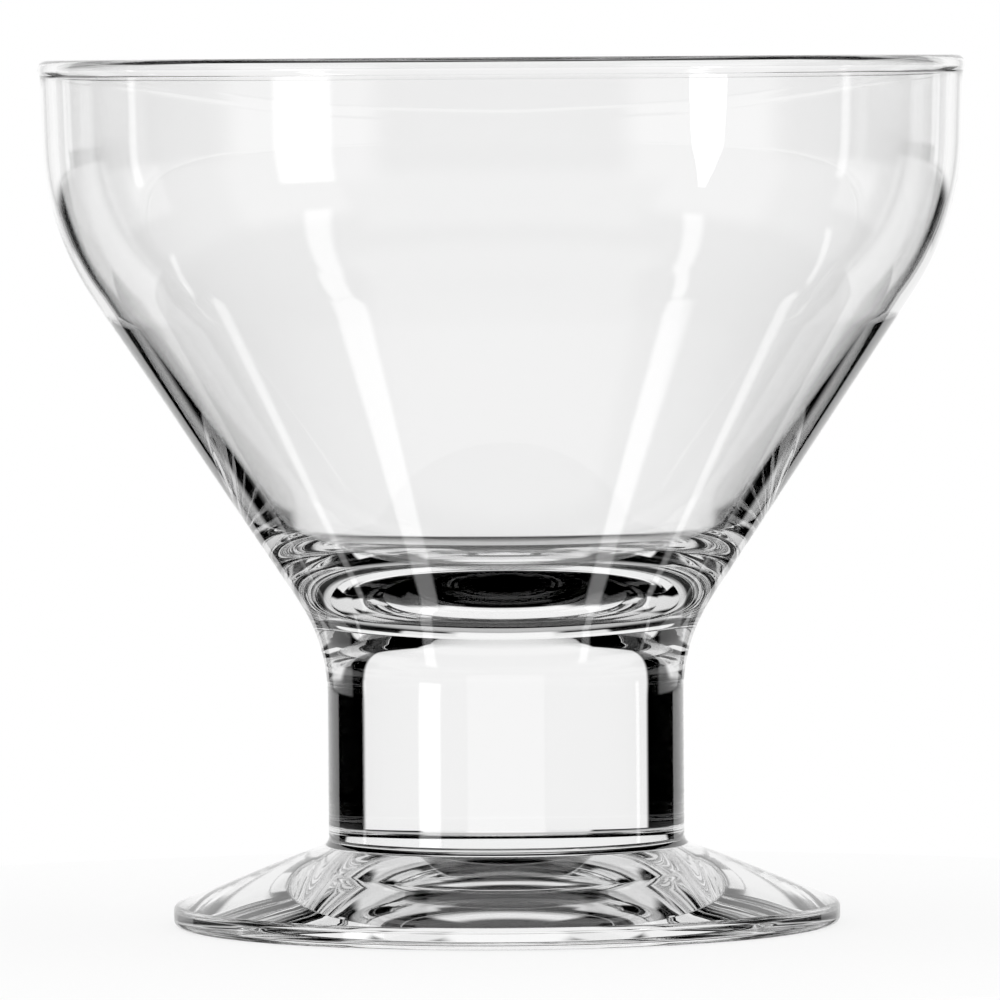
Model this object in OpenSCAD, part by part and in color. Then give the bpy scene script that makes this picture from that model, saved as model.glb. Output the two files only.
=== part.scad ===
// Footed sundae glass: a wide bowl, a short solid stem and a round foot.
// Three gathers of clear glass that are fused hot on flat faces, each a solid of its own.
// Millimetres, +Z up, with the origin at the centre of the circle that it stands on.

/* [Overall] */
// Height from the table to the top of the rim
overall_h = 89; // [74:0.5:108]
// Outside diameter at the rim
rim_d = 95.2; // [80:0.2:114]

/* [Bowl] */
// Wall thickness from the rim to below the shoulder
wall = 1.4; // [1:0.1:2.4]
// How far the bead round the rim stands out from the wall, inside and outside
rim_bead = 0.25; // [0.1:0.05:0.8]
// Radius of the blend between the bead and the wall
rim_blend_r = 0.4; // [0.2:0.1:2]
// Height of the upright wall, from the rim to the corner of the shoulder
upright_h = 17.2; // [14:0.2:24]
// How far the upright wall leans in on its way down to the shoulder
upright_lean = 0.55; // [0:0.05:3]
// Outside radius of the shoulder
shoulder_r = 30; // [6:0.5:34]
// Distance from the inside of the shoulder's curve down to where the wall starts to thicken
thicken_drop = 3; // [2.5:0.5:12]
// Radius of the gentle bend inside, where the wall starts to thicken
thicken_r = 30; // [5:5:40]
// Outside radius of the flare from the bowl down into the stem
flare_r = 18; // [6:0.5:24]

/* [Inside of the bowl] */
// Height of the lowest point of the inside above the table
floor_h = 32.4; // [30:0.2:36]
// Thickness of the glass at the heel, level from the circle where the inside wall would meet the floor
heel_wall = 3.7; // [2:0.1:5.4]
// Depth of the dished floor, from that circle down to the lowest point
floor_dish = 4.9; // [2:0.1:6.5]
// Radius of the heel between the floor and the wall
heel_r = 25; // [4:0.5:34]

/* [Stem] */
// Diameter of the stem
stem_d = 36.6; // [30:0.2:44]
// Height from the top of the foot to the corner under the bowl
stem_h = 20.6; // [17:0.1:25]

/* [Foot] */
// Diameter of the foot
foot_d = 68.6; // [56:0.2:84]
// Height of the foot's slope where it would run into the stem
foot_h = 8.4; // [6:0.1:11]
// Height of the foot's rim, from the table to the edge of the slope
foot_edge_h = 2.1; // [1.4:0.1:3]
// Radius that the foot's rim is rounded to
foot_edge_r = 0.7; // [0.3:0.05:1]
// Radius of the fillet between the foot and the stem
foot_fillet_r = 1; // [0.5:0.1:3]
// Diameter of the hollow under the foot
hollow_d = 35; // [20:0.5:56]
// Depth of the hollow under the foot
hollow_h = 0.6; // [0.2:0.1:3]

/* [Hidden] */
$fn = 128;

// Steps along each curved stretch of a profile
arc_steps = 12;
// Points closer than this count as one
same_point = 0.001;
glass_colour = [0.92, 0.94, 0.94, 0.35];

rim_radius = rim_d / 2;
stem_radius = stem_d / 2;
foot_radius = foot_d / 2;

// The foot's rounding can't be wider than the glass that carries it
foot_round = min(foot_edge_r, foot_edge_h / 2);

// The rim's bead, on the middle of the upright wall
bead_r = wall / 2 + rim_bead;
bead_centre = [rim_radius - bead_r, overall_h - bead_r];
upright_dir = unit([upright_lean, upright_h]);
upright_normal = [upright_dir.y, -upright_dir.x];
upright_turn = bearing(upright_normal);

// Corners of the outside profile, before they are rounded
outer_top = bead_centre + upright_normal * wall / 2;
shoulder = crossing(outer_top, upright_dir, [0, overall_h - upright_h], [1, 0]);
neck = [stem_radius, foot_h + stem_h];
foot_corner = [stem_radius, foot_h];
foot_edge = [foot_radius, foot_edge_h];

// The bowl's cone between the shoulder and the neck
cone_dir = unit(shoulder - neck);
cone_lean = atan2(cone_dir.x, cone_dir.y);
// Slope of the foot's top, from horizontal
foot_slope = atan2(foot_h - foot_edge_h, foot_radius - stem_radius);

// Flat faces where the stem is fused to the bowl and to the foot
bowl_base = neck.y - flare_r * tan(cone_lean / 2);
foot_top = foot_h + foot_fillet_r * tan((90 - foot_slope) / 2);

// Corners of the inside profile: the wall follows the outside, then thickens towards the heel
inner_top = bead_centre - upright_normal * wall / 2;
inner_shoulder = crossing(inner_top, upright_dir, shoulder - [wall / cos(cone_lean), 0], cone_dir);
inner_shoulder_r = shoulder_r - wall;
inner_reach = inner_shoulder_r * tan((cone_lean + upright_turn) / 2);
thicken = inner_shoulder - cone_dir * (inner_reach + thicken_drop);
heel_corner = crossing(neck - [heel_wall, 0], cone_dir, [0, floor_h + floor_dish], [1, 0]);
inner_dir = unit(thicken - heel_corner);
inner_normal = [-inner_dir.y, inner_dir.x];

// The heel can't be rounder than an arc about the axis that touches both the floor and the wall
heel_limit = inner_normal * ([0, floor_h] - heel_corner) / (1 - inner_normal.y);
heel_round = min(heel_r, heel_limit);

// The dished floor is an arc about the axis, and the heel's arc lies inside it and against the wall
floor_r = dome_radius(2 * heel_corner.x, floor_dish);
floor_centre = [0, floor_h + floor_r];
heel_offset = heel_corner + inner_normal * heel_round - floor_centre;
heel_along = heel_offset * inner_dir;
heel_reach = heel_along * heel_along - heel_offset * heel_offset + pow(floor_r - heel_round, 2);
heel_centre = floor_centre + heel_offset - inner_dir * (heel_along + sqrt(heel_reach));
heel_from = bearing(heel_centre - floor_centre);
heel_to = bearing(-inner_normal);

// Where the blends under the bead are centred, and how far round the bead they start
blend_reach = wall / 2 + rim_blend_r;
blend_drop = sqrt(pow(bead_r + rim_blend_r, 2) - pow(blend_reach, 2));
blend_turn = atan2(blend_drop, blend_reach);
outer_blend = bead_centre + upright_normal * blend_reach - upright_dir * blend_drop;
inner_blend = bead_centre - upright_normal * blend_reach - upright_dir * blend_drop;

// Radius of the dome under the foot
hollow_r = dome_radius(hollow_d, hollow_h);
hollow_half_angle = asin(hollow_d / 2 / hollow_r);

function unit(v) = v / norm(v);
function bearing(v) = atan2(v.y, v.x);

// Radius of a dome of this width and height
function dome_radius(d, h) = (d * d / 4 + h * h) / (2 * h);

// The point where two lines meet, each given by a point and a direction
function crossing(p, u, q, v) = p + u * cross(q - p, v) / cross(u, v);

// Points along an arc, with both ends
function arc(centre, radius, from, to) = [
    for (i = [0 : arc_steps])
        let (angle = from + (to - from) * i / arc_steps)
        centre + radius * [cos(angle), sin(angle)]
];

// A corner rounded to a radius, with its arc tangent to both sides
function rounded(before, corner, after, radius) =
    let (back = unit(before - corner))
    let (on = unit(after - corner))
    let (half = acos(back * on) / 2)
    let (centre = corner + unit(back + on) * radius / sin(half))
    let (from = bearing(corner + back * radius / tan(half) - centre))
    let (turn = sign(cross(corner - before, after - corner)) * (180 - 2 * half))
    arc(centre, radius, from, from + turn);

// The points without those that repeat the one after them
function distinct(points) = [
    for (i = [0 : len(points) - 1])
        if (norm(points[i] - points[(i + 1) % len(points)]) > same_point) points[i]
];

module turned(profile) {
    rotate_extrude() polygon(distinct(profile));
}

// Bowl: beaded rim, upright wall, shoulder, cone, and the flare down to the stem
module bowl() {
    outer_base = [stem_radius, bowl_base];
    color(glass_colour) turned(concat(
        arc(bead_centre, bead_r, 180 + blend_turn + upright_turn, 90),
        arc(bead_centre, bead_r, 90, 0),
        arc(bead_centre, bead_r, 0, upright_turn - blend_turn),
        arc(outer_blend, rim_blend_r, 180 - blend_turn + upright_turn, 180 + upright_turn),
        rounded(outer_top, shoulder, neck, shoulder_r),
        rounded(shoulder, neck, outer_base, flare_r),
        [[0, bowl_base]],
        arc(floor_centre, floor_r, -90, heel_from),
        arc(heel_centre, heel_round, heel_from, heel_to),
        rounded(heel_corner, thicken, inner_shoulder, thicken_r),
        rounded(thicken, inner_shoulder, inner_top, inner_shoulder_r),
        arc(inner_blend, rim_blend_r, upright_turn, upright_turn + blend_turn)
    ));
}

// Stem: a short solid cylinder between the two fused faces
module stem() {
    color(glass_colour)
        translate([0, 0, foot_top])
            cylinder(d = stem_d, h = bowl_base - foot_top);
}

// Foot: a sloping disc with a rounded rim, hollowed underneath so that it stands on a flat ring
module foot() {
    rest_edge = [foot_radius, 0];
    color(glass_colour) turned(concat(
        [[0, foot_top]],
        rounded([stem_radius, overall_h], foot_corner, foot_edge, foot_fillet_r),
        rounded(foot_corner, foot_edge, rest_edge, foot_round),
        rounded(foot_edge, rest_edge, [0, 0], foot_round),
        arc([0, hollow_h - hollow_r], hollow_r, 90 - hollow_half_angle, 90)
    ));
}

bowl();
stem();
foot();
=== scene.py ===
"""Looks of the footed sundae glass: three turned pieces of clear glass on a white table, in a dark studio
with a bright backdrop behind the glass and soft boxes in front of it."""
import math

import bpy
from mathutils import Matrix, Vector


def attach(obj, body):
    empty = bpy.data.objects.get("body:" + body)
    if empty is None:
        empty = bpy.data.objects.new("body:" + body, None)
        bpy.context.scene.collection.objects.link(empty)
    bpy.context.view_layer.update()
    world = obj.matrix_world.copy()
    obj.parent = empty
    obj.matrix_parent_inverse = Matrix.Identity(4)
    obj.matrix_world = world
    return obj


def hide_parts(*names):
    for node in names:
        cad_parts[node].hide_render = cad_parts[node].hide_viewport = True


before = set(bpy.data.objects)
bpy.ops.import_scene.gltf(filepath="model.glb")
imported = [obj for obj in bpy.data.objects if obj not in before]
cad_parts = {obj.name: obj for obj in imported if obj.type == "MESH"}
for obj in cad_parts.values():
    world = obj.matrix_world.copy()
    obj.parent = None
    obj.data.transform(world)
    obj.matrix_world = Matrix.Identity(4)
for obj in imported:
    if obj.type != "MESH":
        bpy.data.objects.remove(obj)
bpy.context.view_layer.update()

MM = 0.001

# Sizes of the glass in millimetres, as in the CAD model
OVERALL_H = 89.0
RIM_D = 95.2
WALL = 1.4
RIM_BEAD = 0.25
RIM_BLEND_R = 0.4
UPRIGHT_H = 17.2
UPRIGHT_LEAN = 0.55
SHOULDER_R = 30.0
THICKEN_DROP = 3.0
THICKEN_R = 30.0
FLARE_R = 18.0
FLOOR_H = 32.4
HEEL_WALL = 3.7
FLOOR_DISH = 4.9
HEEL_R = 25.0
STEM_D = 36.6
STEM_H = 20.6
FOOT_D = 68.6
FOOT_H = 8.4
FOOT_EDGE_H = 2.1
FOOT_EDGE_R = 0.7
FOOT_FILLET_R = 1.0
HOLLOW_D = 35.0
HOLLOW_H = 0.6

# Fineness of the meshes: pieces round the axis, steps on a curve and on the rim's small ones, and the
# longest step on a straight stretch
AROUND = 256
CURVE_STEPS = 40
RIM_STEPS = 16
STRAIGHT_STEP = 1.5
# Short upright stretch next to a fused face, so that the shading runs on from piece to piece
SEAM = 0.005
# Points closer than this count as one
SAME_POINT = 0.0005

# The glass: its refractive index, the waves in its surface per metre, and their height in metres
GLASS_IOR = 1.51
WAVE_SCALE = 70.0
WAVE_HEIGHT = 0.00002
# The table's paper: its grain per metre, its darkest and lightest shade, and the share of it that glows
# by itself
PAPER_SCALE = 900.0
PAPER_SHADES = (0.88, 0.92)
PAPER_GLOW = 0.8
# The cards' cloth: its weave across a card, and the darkest and lightest share of the card's light
CLOTH_SCALE = 2500.0
CLOTH_SHADES = (0.97, 1.03)

# The camera, from the photograph: its azimuth round the glass in degrees, and its distance and height in
# millimetres
CAMERA_AZIMUTH = 225.0
CAMERA_DISTANCE = 1100.0
CAMERA_HEIGHT = 90.0
# The point that it looks at, to the right of the axis and above the table, and its roll in degrees
AIM_RIGHT = -0.44
AIM_HEIGHT = 43.57
CAMERA_ROLL = 0.4
# Width of the photograph, its scale at the axis, and the width of the camera's sensor
PHOTO_PIXELS = 1000
PIXELS_PER_MM = 9.74
SENSOR_MM = 36.0

# The studio round the glass. Angles are in degrees: azimuth from the camera's line of sight, positive to the
# right, and elevation above the horizon. A patch is a bright area with soft edges, which the glass shows by
# refraction (THROUGH), by reflection (MIRRORED) or both.
THROUGH = "Is Transmission Ray"
MIRRORED = "Is Glossy Ray"
BOTH = (THROUGH, MIRRORED)


def patch(rays, light, azimuth, elevation, softness=(2.0, 2.0), lean=0.0, both_sides=False):
    """An area of light. Its azimuth is the one halfway up, lean is how far it moves per degree of elevation,
    and softness is the width of its side edges and of its lower and upper edge. A patch for both sides is
    given as the one on the right."""
    return {"rays": rays, "light": light, "azimuth": azimuth, "elevation": elevation,
            "softness": softness, "lean": lean, "both_sides": both_sides}


SOFT = (3.0, 3.0)
PATCHES = {
    "backdrop": patch(BOTH, 0.96, (-41, 41), (-5, 34)),
    "backdrop top": patch((THROUGH,), 0.96, (-24, 24), (25, 48)),
    "sweep": patch(BOTH, 1.0, (-10, 10), (-30, 10), (4.0, 4.0)),
    "wide sweep": patch(BOTH, 0.85, (-20, 20), (-20, 10), (2.0, 4.0)),
    "side glow": patch((THROUGH,), 0.85, (58, 135), (9, 32), (7.0, 7.0), both_sides=True),
    "low glow": patch((THROUGH,), 0.85, (58, 82), (-20, -7), SOFT, both_sides=True),
    "high glow": patch((THROUGH,), 0.8, (120, 200), (48, 68), (12.0, 12.0), both_sides=True),
    "camera side": patch((THROUGH,), 0.8, (104, 147), (-30, 20), (10.0, 10.0), both_sides=True),
    "camera floor": patch((THROUGH,), 0.8, (140, 205), (-36, -14), (10.0, 8.0), both_sides=True),
    "side sheet": patch((MIRRORED,), 0.9, (38, 75), (-2.4, 6), (8.0, 0.8), both_sides=True),
    "low sheet": patch((MIRRORED,), 0.9, (41, 62), (-30, -5), (4.0, 0.8), both_sides=True),
    "inner sheet": patch((MIRRORED,), 0.9, (31, 45), (-20, -5), (4.0, 0.8), both_sides=True),
    "soft box left": patch((MIRRORED,), 4.0, (-137, -122), (-16, -1), (3.0, 2.0)),
    "shoulder box left": patch((MIRRORED,), 3.0, (-129, -121), (-50, -26), SOFT, lean=-0.4),
    "turn box left": patch((MIRRORED,), 3.0, (-121.5, -111.5), (-58, -47), SOFT, lean=-0.8),
    "cone box left": patch((MIRRORED,), 3.0, (-117, -105), (-70, -57), SOFT),
    "shoulder box right": patch((MIRRORED,), 3.0, (119.5, 125.5), (-49, -28), SOFT, lean=0.45),
    "turn box right": patch((MIRRORED,), 3.0, (110, 116), (-57, -46), SOFT, lean=1.3),
    "cone box right": patch((MIRRORED,), 3.0, (97, 107), (-70, -56), SOFT),
    "strip left": patch((MIRRORED,), 2.5, (-76.5, -73.5), (-12, -1)),
    "strip right": patch((MIRRORED,), 2.5, (83.5, 86.5), (-12, -1)),
    "shoulder strip left": patch((MIRRORED,), 2.0, (-69.5, -66.5), (-37.5, -29), lean=-1.0),
    "cone strip left": patch((MIRRORED,), 2.0, (-70, -66.5), (-46, -41)),
    "shoulder strip right": patch((MIRRORED,), 2.0, (73, 76), (-37.5, -25), lean=0.9),
    "cone strip right": patch((MIRRORED,), 2.0, (66, 69.5), (-47, -40)),
}
# Even light of the studio on the table
FILL_LIGHT = 1.11
# Light runs along inside the wall by many reflections, so paths may be long
LIGHT_BOUNCES = 64

# Cards that stand near the glass, in millimetres from its axis: to the right, towards the camera, widths at
# the bottom and the top, and heights of the bottom and the top. Each faces the glass.
# The soft box on the right is so close to the rim that the stem below doesn't mirror it.
SOFT_BOX = {"right": 100, "near": 104, "widths": (4, 24), "heights": (42, 83), "light": 4.0}
# Grey cards behind the glass, one on each side, draw the outline of its upright wall.
EDGE_CARD = {"right": 64.5, "near": -65, "widths": (9, 9), "heights": (60, 95), "light": 0.4}

# The table top that shows: a pale disc just under the glass
TABLE_R = 100.0
TABLE_GAP = 0.05
# The part of the table that shows through the glass, a ring of painted light round painted shade under
# the foot: inner radius, where it starts to fade, outer radius and light
SEEN_INNER_R = 40.0
SEEN_FADE_R = 46.0
SEEN_OUTER_R = 78.0
SEEN_LIGHT = 0.55

# Directions from the axis to the camera, and to the right as the camera sees it
azimuth = math.radians(CAMERA_AZIMUTH)
to_camera = Vector((math.sin(azimuth), -math.cos(azimuth), 0))
right = Vector((math.cos(azimuth), math.sin(azimuth), 0))
up = Vector((0, 0, 1))


# Outlines: points are (radius, height) in millimetres

def bearing(v):
    return math.atan2(v.y, v.x)


def across(a, b):
    return a.x * b.y - a.y * b.x


def dome_radius(width, height):
    return (width * width / 4 + height * height) / (2 * height)


def crossing(p, u, q, v):
    """The point where two lines meet, each given by a point and a direction."""
    return p + u * (across(q - p, v) / across(u, v))


def arc(centre, radius, start, end, steps=CURVE_STEPS):
    """Points along an arc, with both ends."""
    angles = [start + (end - start) * i / steps for i in range(steps + 1)]
    return [centre + radius * Vector((math.cos(a), math.sin(a))) for a in angles]


def rounded(before, corner, after, radius):
    """A corner rounded to a radius, with its arc tangent to both sides."""
    back = (before - corner).normalized()
    on = (after - corner).normalized()
    half = math.acos(back.dot(on)) / 2
    centre = corner + (back + on).normalized() * (radius / math.sin(half))
    start = bearing(corner + back * (radius / math.tan(half)) - centre)
    turn = math.copysign(math.pi - 2 * half, across(corner - before, after - corner))
    return arc(centre, radius, start, start + turn)


def filled(points):
    """The outline with long straight stretches cut up and repeated points left out."""
    outline = [points[0]]
    for point in points[1:]:
        start = outline[-1]
        length = (point - start).length
        if length < SAME_POINT:
            continue
        steps = math.ceil(length / STRAIGHT_STEP)
        outline += [start.lerp(point, i / steps) for i in range(1, steps + 1)]
    return outline


rim_r = RIM_D / 2
stem_r = STEM_D / 2
foot_r = FOOT_D / 2
level = Vector((1, 0))
bead_r = WALL / 2 + RIM_BEAD
bead_centre = Vector((rim_r - bead_r, OVERALL_H - bead_r))
upright_dir = Vector((UPRIGHT_LEAN, UPRIGHT_H)).normalized()
upright_normal = Vector((upright_dir.y, -upright_dir.x))
outer_top = bead_centre + upright_normal * (WALL / 2)
inner_top = bead_centre - upright_normal * (WALL / 2)
shoulder = crossing(outer_top, upright_dir, Vector((0, OVERALL_H - UPRIGHT_H)), level)
neck = Vector((stem_r, FOOT_H + STEM_H))
foot_corner = Vector((stem_r, FOOT_H))
foot_edge = Vector((foot_r, FOOT_EDGE_H))
cone_dir = (shoulder - neck).normalized()
cone_lean = math.atan2(cone_dir.x, cone_dir.y)
foot_slope = math.atan2(FOOT_H - FOOT_EDGE_H, foot_r - stem_r)
bowl_base = neck.y - FLARE_R * math.tan(cone_lean / 2)
foot_top = FOOT_H + FOOT_FILLET_R * math.tan((math.pi / 2 - foot_slope) / 2)


def rim_outline():
    """The bead round the rim and its blends into the wall, from the outside over the top to the inside."""
    reach = WALL / 2 + RIM_BLEND_R
    drop = math.sqrt((bead_r + RIM_BLEND_R) ** 2 - reach ** 2)
    turn = math.atan2(drop, reach)
    lean = bearing(upright_normal)
    outer_blend = bead_centre + upright_normal * reach - upright_dir * drop
    inner_blend = bead_centre - upright_normal * reach - upright_dir * drop
    outline = arc(outer_blend, RIM_BLEND_R, math.pi + lean, math.pi + lean - turn, RIM_STEPS)
    outline += arc(bead_centre, bead_r, lean - turn, 0, RIM_STEPS)
    outline += arc(bead_centre, bead_r, 0, math.pi / 2, RIM_STEPS)
    outline += arc(bead_centre, bead_r, math.pi / 2, math.pi + lean + turn, RIM_STEPS)
    return outline + arc(inner_blend, RIM_BLEND_R, lean + turn, lean, RIM_STEPS)


def bowl_outline():
    """From the fused face up the outside to the rim and down the inside to the floor."""
    cone_start = shoulder - level * (WALL / math.cos(cone_lean))
    inner_shoulder = crossing(inner_top, upright_dir, cone_start, cone_dir)
    inner_shoulder_r = SHOULDER_R - WALL
    inner_reach = inner_shoulder_r * math.tan((cone_lean + bearing(upright_normal)) / 2)
    thicken = inner_shoulder - cone_dir * (inner_reach + THICKEN_DROP)
    heel_corner = crossing(neck - level * HEEL_WALL, cone_dir, Vector((0, FLOOR_H + FLOOR_DISH)), level)
    inner_dir = (thicken - heel_corner).normalized()
    inner_normal = Vector((-inner_dir.y, inner_dir.x))
    floor_r = dome_radius(2 * heel_corner.x, FLOOR_DISH)
    floor_centre = Vector((0, FLOOR_H + floor_r))
    heel_offset = heel_corner + inner_normal * HEEL_R - floor_centre
    heel_along = heel_offset.dot(inner_dir)
    heel_reach = heel_along ** 2 - heel_offset.length_squared + (floor_r - HEEL_R) ** 2
    heel_centre = floor_centre + heel_offset - inner_dir * (heel_along + math.sqrt(heel_reach))
    heel_from = bearing(heel_centre - floor_centre)
    base_edge = Vector((stem_r, bowl_base))
    outside = [Vector((0, bowl_base)), base_edge, base_edge + Vector((0, SEAM))]
    outside += rounded(base_edge, neck, shoulder, FLARE_R)[1:]
    outside += rounded(neck, shoulder, outer_top, SHOULDER_R)
    inside = rounded(inner_top, inner_shoulder, thicken, inner_shoulder_r)
    inside += rounded(inner_shoulder, thicken, heel_corner, THICKEN_R)
    inside += arc(heel_centre, HEEL_R, bearing(-inner_normal), heel_from)
    inside += arc(floor_centre, floor_r, heel_from, -math.pi / 2)
    return outside + rim_outline() + inside


def stem_outline():
    """From the fused face on the foot to the one under the bowl."""
    low = Vector((stem_r, foot_top))
    high = Vector((stem_r, bowl_base))
    return [Vector((0, foot_top)), low, high, Vector((0, bowl_base))]


def foot_outline():
    """From the hollow underneath round the foot's rim and up the slope to the fused face."""
    hollow_r = dome_radius(HOLLOW_D, HOLLOW_H)
    hollow_half = math.asin(HOLLOW_D / 2 / hollow_r)
    rest_edge = Vector((foot_r, 0))
    top_edge = Vector((stem_r, foot_top))
    outline = arc(Vector((0, HOLLOW_H - hollow_r)), hollow_r, math.pi / 2, math.pi / 2 - hollow_half)
    outline += rounded(Vector((0, 0)), rest_edge, foot_edge, FOOT_EDGE_R)
    outline += rounded(rest_edge, foot_edge, foot_corner, FOOT_EDGE_R)
    outline += rounded(foot_edge, foot_corner, top_edge + Vector((0, STEM_H)), FOOT_FILLET_R)[:-1]
    return outline + [top_edge + Vector((0, -SEAM)), top_edge, Vector((0, foot_top))]


# Materials

def new_material(name):
    material = bpy.data.materials.new(name)
    material.use_nodes = True
    material.node_tree.nodes.clear()
    return material, material.node_tree.nodes, material.node_tree.links


def clear_glass():
    """Clear fire-polished glass with a faint unevenness. Shadow rays pass straight through it."""
    material, nodes, links = new_material("clear_glass")
    glass = nodes.new("ShaderNodeBsdfPrincipled")
    glass.inputs["Base Color"].default_value = (1.0, 1.0, 1.0, 1.0)
    glass.inputs["Roughness"].default_value = 0.0
    glass.inputs["IOR"].default_value = GLASS_IOR
    glass.inputs["Transmission Weight"].default_value = 1.0
    place = nodes.new("ShaderNodeTexCoord")
    waves = nodes.new("ShaderNodeTexNoise")
    waves.inputs["Scale"].default_value = WAVE_SCALE
    waves.inputs["Detail"].default_value = 0.0
    bump = nodes.new("ShaderNodeBump")
    bump.inputs["Distance"].default_value = WAVE_HEIGHT
    bump.inputs["Filter Width"].default_value = 1.0
    links.new(place.outputs["Object"], waves.inputs["Vector"])
    links.new(waves.outputs["Fac"], bump.inputs["Height"])
    links.new(bump.outputs["Normal"], glass.inputs["Normal"])
    through = nodes.new("ShaderNodeBsdfTransparent")
    rays = nodes.new("ShaderNodeLightPath")
    mix = nodes.new("ShaderNodeMixShader")
    out = nodes.new("ShaderNodeOutputMaterial")
    links.new(rays.outputs["Is Shadow Ray"], mix.inputs["Fac"])
    links.new(glass.outputs["BSDF"], mix.inputs[1])
    links.new(through.outputs["BSDF"], mix.inputs[2])
    links.new(mix.outputs["Shader"], out.inputs["Surface"])
    return material


def fused_face():
    """The hidden faces where two pieces have melted together. Every ray passes straight through them."""
    material, nodes, links = new_material("fused_face")
    through = nodes.new("ShaderNodeBsdfTransparent")
    out = nodes.new("ShaderNodeOutputMaterial")
    links.new(through.outputs["BSDF"], out.inputs["Surface"])
    return material


def table_white():
    """White table top with a faint paper grain: it looks as white as the backdrop and takes a soft shadow."""
    material, nodes, links = new_material("table_white")
    place = nodes.new("ShaderNodeTexCoord")
    grain = nodes.new("ShaderNodeTexNoise")
    grain.inputs["Scale"].default_value = PAPER_SCALE
    shade = nodes.new("ShaderNodeMapRange")
    shade.inputs["To Min"].default_value = PAPER_SHADES[0]
    shade.inputs["To Max"].default_value = PAPER_SHADES[1]
    paper = nodes.new("ShaderNodeBsdfDiffuse")
    links.new(place.outputs["Object"], grain.inputs["Vector"])
    links.new(grain.outputs["Fac"], shade.inputs["Value"])
    links.new(shade.outputs["Result"], paper.inputs["Color"])
    glow = nodes.new("ShaderNodeEmission")
    mix = nodes.new("ShaderNodeMixShader")
    mix.inputs["Fac"].default_value = PAPER_GLOW
    out = nodes.new("ShaderNodeOutputMaterial")
    links.new(paper.outputs["BSDF"], mix.inputs[1])
    links.new(glow.outputs["Emission"], mix.inputs[2])
    links.new(mix.outputs["Shader"], out.inputs["Surface"])
    return material


def table_seen_painted_glow():
    """The table top as the glass shows it: a ring that glows as painted light in place of the lit table, and
    fades into the dark of the studio away from the foot.
    """
    material, nodes, links = new_material("table_seen_painted_glow")
    place = nodes.new("ShaderNodeTexCoord")
    distance = nodes.new("ShaderNodeVectorMath")
    distance.operation = "LENGTH"
    fade = nodes.new("ShaderNodeMapRange")
    fade.interpolation_type = "SMOOTHSTEP"
    fade.inputs["From Min"].default_value = SEEN_FADE_R * MM
    fade.inputs["From Max"].default_value = SEEN_OUTER_R * MM
    glow = nodes.new("ShaderNodeEmission")
    glow.inputs["Strength"].default_value = SEEN_LIGHT
    clear = nodes.new("ShaderNodeBsdfTransparent")
    mix = nodes.new("ShaderNodeMixShader")
    out = nodes.new("ShaderNodeOutputMaterial")
    links.new(place.outputs["Object"], distance.inputs[0])
    links.new(distance.outputs["Value"], fade.inputs["Value"])
    links.new(fade.outputs["Result"], mix.inputs["Fac"])
    links.new(glow.outputs["Emission"], mix.inputs[1])
    links.new(clear.outputs["BSDF"], mix.inputs[2])
    links.new(mix.outputs["Shader"], out.inputs["Surface"])
    return material


def card_cloth(name, strength):
    """Lit cloth of a card, with a fine weave."""
    material, nodes, links = new_material(name)
    weave = nodes.new("ShaderNodeTexNoise")
    weave.inputs["Scale"].default_value = CLOTH_SCALE
    shade = nodes.new("ShaderNodeMapRange")
    shade.inputs["To Min"].default_value = CLOTH_SHADES[0] * strength
    shade.inputs["To Max"].default_value = CLOTH_SHADES[1] * strength
    glow = nodes.new("ShaderNodeEmission")
    out = nodes.new("ShaderNodeOutputMaterial")
    links.new(weave.outputs["Fac"], shade.inputs["Value"])
    links.new(shade.outputs["Result"], glow.inputs["Strength"])
    links.new(glow.outputs["Emission"], out.inputs["Surface"])
    return material


# Pieces

def turned(name, outline, materials, fused_ends):
    """A closed mesh turned about the axis from an outline that starts and ends on it. Fused ends, 0 for the
    first and -1 for the last, are flat faces that are melted to the next piece."""
    rings = filled(outline[1:-1])
    vertices = []
    for point in rings:
        for i in range(AROUND):
            angle = 2 * math.pi * i / AROUND
            vertices.append((point.x * math.cos(angle) * MM, point.x * math.sin(angle) * MM, point.y * MM))
    low_pole = len(vertices)
    high_pole = low_pole + 1
    last_ring = low_pole - AROUND
    vertices += [(0, 0, outline[0].y * MM), (0, 0, outline[-1].y * MM)]
    following = [(i, (i + 1) % AROUND) for i in range(AROUND)]
    faces = [(low_pole, j, i) for i, j in following]
    faces += [(high_pole, last_ring + i, last_ring + j) for i, j in following]
    for k in range(0, last_ring, AROUND):
        faces += [(k + i, k + j, k + AROUND + j, k + AROUND + i) for i, j in following]
    mesh = bpy.data.meshes.new(name)
    mesh.from_pydata(vertices, [], faces)
    mesh.shade_smooth()
    for material in materials:
        mesh.materials.append(material)
    for end in fused_ends:
        pole, ring_start = (low_pole, 0) if end == 0 else (high_pole, last_ring)
        for polygon in mesh.polygons:
            if pole in polygon.vertices:
                polygon.material_index = 1
        for edge in mesh.edges:
            if all(ring_start <= v < ring_start + AROUND for v in edge.vertices):
                edge.use_edge_sharp = True
    piece = bpy.data.objects.new(name, mesh)
    bpy.context.scene.collection.objects.link(piece)
    return piece


glass = clear_glass()
fused = fused_face()
pieces = [
    ("glass_bowl", "bowl", bowl_outline(), [0]),
    ("glass_stem", "stem", stem_outline(), [0, -1]),
    ("glass_foot", "foot", foot_outline(), [-1]),
]
for piece_name, node, outline, fused_ends in pieces:
    piece = turned(piece_name, outline, [glass, fused], fused_ends)
    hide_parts(node)
    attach(piece, "root")


# Table and cards

def stage_plate(name, corners, faces, material):
    """A flat thing of the studio, from corners in millimetres."""
    mesh = bpy.data.meshes.new(name)
    mesh.from_pydata([corner * MM for corner in corners], [], faces)
    mesh.materials.append(material)
    plate = bpy.data.objects.new(name, mesh)
    bpy.context.scene.collection.objects.link(plate)
    return plate


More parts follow.
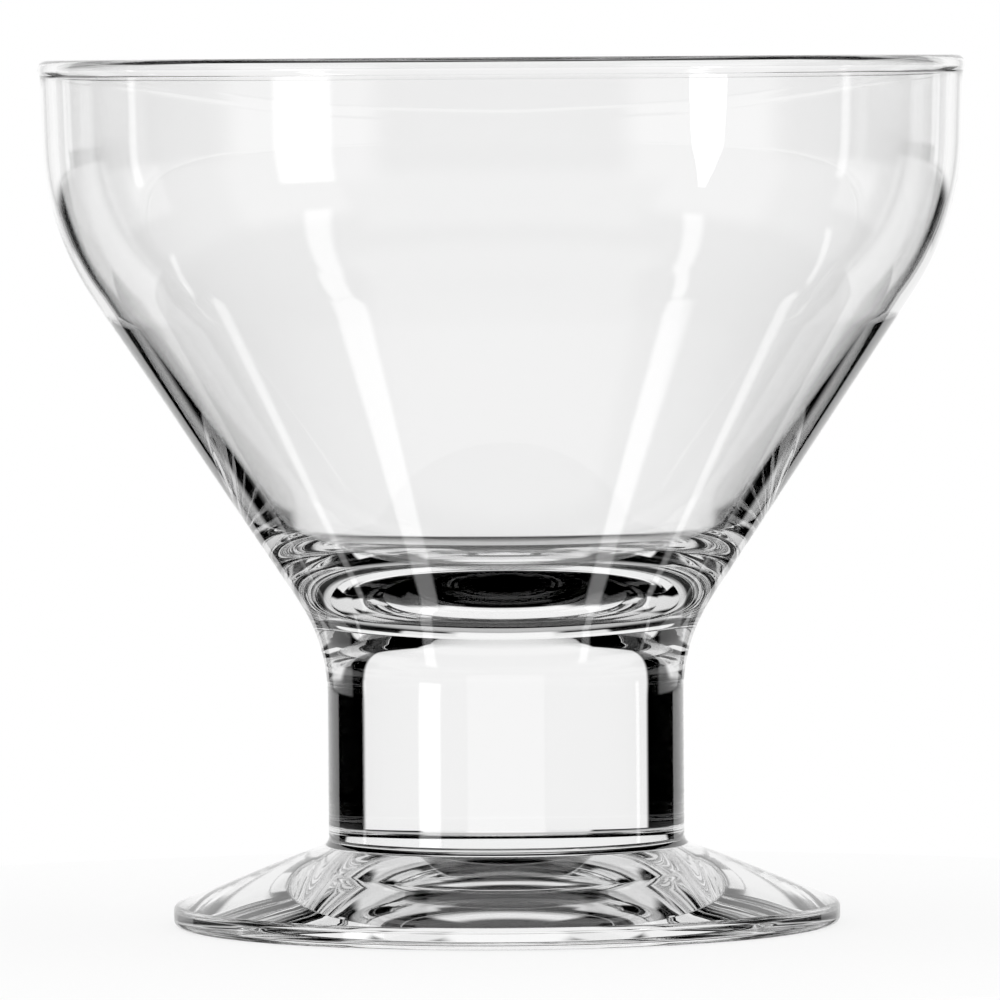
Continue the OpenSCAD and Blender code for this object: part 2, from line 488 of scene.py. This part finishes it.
def ring(name, inner, outer, height, material):
    """A flat ring about the axis, or a disc where the inner radius is 0."""
    turns = [2 * math.pi * i / AROUND for i in range(AROUND)]
    circle = [Vector((math.cos(a), math.sin(a), 0)) for a in turns]
    corners = [c * outer + up * height for c in circle]
    faces = [range(AROUND)]
    if inner > 0:
        corners += [c * inner + up * height for c in circle]
        following = [(i, (i + 1) % AROUND) for i in range(AROUND)]
        faces = [(i, j, AROUND + j, AROUND + i) for i, j in following]
    return stage_plate(name, corners, faces, material)


def table():
    """The table top that the camera sees, and the ring of it that shows through the glass."""
    top = ring("table_top", 0, TABLE_R, -TABLE_GAP, table_white())
    top.visible_transmission = False
    top.visible_glossy = False
    # Inside the ring no table shows through the glass, which leaves painted shade under the foot
    seen = ring("table_seen", SEEN_INNER_R, SEEN_OUTER_R, -2 * TABLE_GAP, table_seen_painted_glow())
    seen.visible_camera = False
    seen.visible_diffuse = False
    seen.visible_glossy = False
    seen.visible_shadow = False


def stand_card(name, card, side, in_glass, in_mirror):
    """A flat card, which shows only through the glass or only as a reflection. Side is 1 for one that stands
    on the right and -1 for one on the left."""
    middle = right * (side * card["right"]) + to_camera * card["near"]
    sideways = middle.cross(up).normalized()
    corners = []
    for height, width in zip(card["heights"], card["widths"]):
        for end in (-0.5, 0.5):
            corners.append(middle + sideways * (end * width) + up * height)
    plate = stage_plate(name, corners, [(0, 1, 3, 2)], card_cloth(name + "_cloth", card["light"]))
    plate.visible_camera = False
    plate.visible_diffuse = False
    plate.visible_shadow = False
    plate.visible_transmission = in_glass
    plate.visible_glossy = in_mirror


table()
stand_card("soft_box", SOFT_BOX, 1, in_glass=False, in_mirror=True)
stand_card("edge_card_right", EDGE_CARD, 1, in_glass=True, in_mirror=False)
stand_card("edge_card_left", EDGE_CARD, -1, in_glass=True, in_mirror=False)


# Camera

def photo_camera():
    """The camera that took the photograph, as far as the photograph shows it."""
    data = bpy.data.cameras.new("camera")
    data.sensor_width = SENSOR_MM
    data.lens = SENSOR_MM * CAMERA_DISTANCE * PIXELS_PER_MM / PHOTO_PIXELS
    camera = bpy.data.objects.new("camera", data)
    bpy.context.scene.collection.objects.link(camera)
    place = (to_camera * CAMERA_DISTANCE + up * CAMERA_HEIGHT) * MM
    aim = (right * AIM_RIGHT + up * AIM_HEIGHT) * MM
    turn = (aim - place).to_track_quat("-Z", "Y").to_matrix()
    roll = Matrix.Rotation(math.radians(-CAMERA_ROLL), 3, "Z")
    camera.matrix_world = Matrix.Translation(place) @ (turn @ roll).to_4x4()
    bpy.context.scene.camera = camera


photo_camera()


# Studio light

def studio_world():
    """A world that is lit by direction, with the brightest of the patches that lie in a direction."""
    world = bpy.data.worlds.new("studio")
    bpy.context.scene.world = world
    world.use_nodes = True
    nodes = world.node_tree.nodes
    links = world.node_tree.links
    nodes.clear()

    def feed(socket, value):
        if isinstance(value, (int, float)):
            socket.default_value = value
        else:
            links.new(value, socket)

    def maths(operation, *values):
        node = nodes.new("ShaderNodeMath")
        node.operation = operation
        for socket, value in zip(node.inputs, values):
            feed(socket, value)
        return node.outputs["Value"]

    def step_up(value, edge, softness):
        node = nodes.new("ShaderNodeMapRange")
        node.interpolation_type = "SMOOTHSTEP"
        feed(node.inputs["Value"], value)
        node.inputs["From Min"].default_value = edge - softness / 2
        node.inputs["From Max"].default_value = edge + softness / 2
        return node.outputs["Result"]

    def between(value, limits, softness):
        low, high = limits
        return maths("SUBTRACT", step_up(value, low, softness), step_up(value, high, softness))

    def area(spot):
        low, high = spot["elevation"]
        side_softness, rise_softness = spot["softness"]
        turn = either_side if spot["both_sides"] else side
        straight = maths("MULTIPLY_ADD", maths("SUBTRACT", rise, (low + high) / 2), -spot["lean"], turn)
        wide = between(straight, spot["azimuth"], side_softness)
        return maths("MULTIPLY", wide, between(rise, spot["elevation"], rise_softness))

    def along(vector):
        node = nodes.new("ShaderNodeVectorMath")
        node.operation = "DOT_PRODUCT"
        links.new(place.outputs["Generated"], node.inputs[0])
        node.inputs[1].default_value = vector
        return node.outputs["Value"]

    place = nodes.new("ShaderNodeTexCoord")
    side = maths("DEGREES", maths("ARCTAN2", along(right), along(-to_camera)))
    either_side = maths("ABSOLUTE", side)
    rise = maths("DEGREES", maths("ARCSINE", along(up)))
    light = {THROUGH: 0.0, MIRRORED: 0.0}
    for spot in PATCHES.values():
        glow = maths("MULTIPLY", area(spot), spot["light"])
        for ray in spot["rays"]:
            light[ray] = maths("MAXIMUM", light[ray], glow)
    rays = nodes.new("ShaderNodeLightPath")
    through = rays.outputs[THROUGH]
    # A ray that leaves the glass by refraction counts as glossy too
    mirrored = maths("MULTIPLY", rays.outputs[MIRRORED], maths("SUBTRACT", 1.0, through))
    diffuse = rays.outputs["Is Diffuse Ray"]
    strength = maths("MULTIPLY_ADD", diffuse, FILL_LIGHT, rays.outputs["Is Camera Ray"])
    strength = maths("MULTIPLY_ADD", through, light[THROUGH], strength)
    strength = maths("MULTIPLY_ADD", mirrored, light[MIRRORED], strength)
    background = nodes.new("ShaderNodeBackground")
    background.inputs["Color"].default_value = (1.0, 1.0, 1.0, 1.0)
    links.new(strength, background.inputs["Strength"])
    out = nodes.new("ShaderNodeOutputWorld")
    links.new(background.outputs["Background"], out.inputs["Surface"])


studio_world()

scene = bpy.context.scene
scene.cycles.max_bounces = LIGHT_BOUNCES
scene.cycles.transmission_bounces = LIGHT_BOUNCES
scene.cycles.glossy_bounces = LIGHT_BOUNCES
scene.cycles.transparent_max_bounces = LIGHT_BOUNCES
scene.view_settings.view_transform = "Standard"
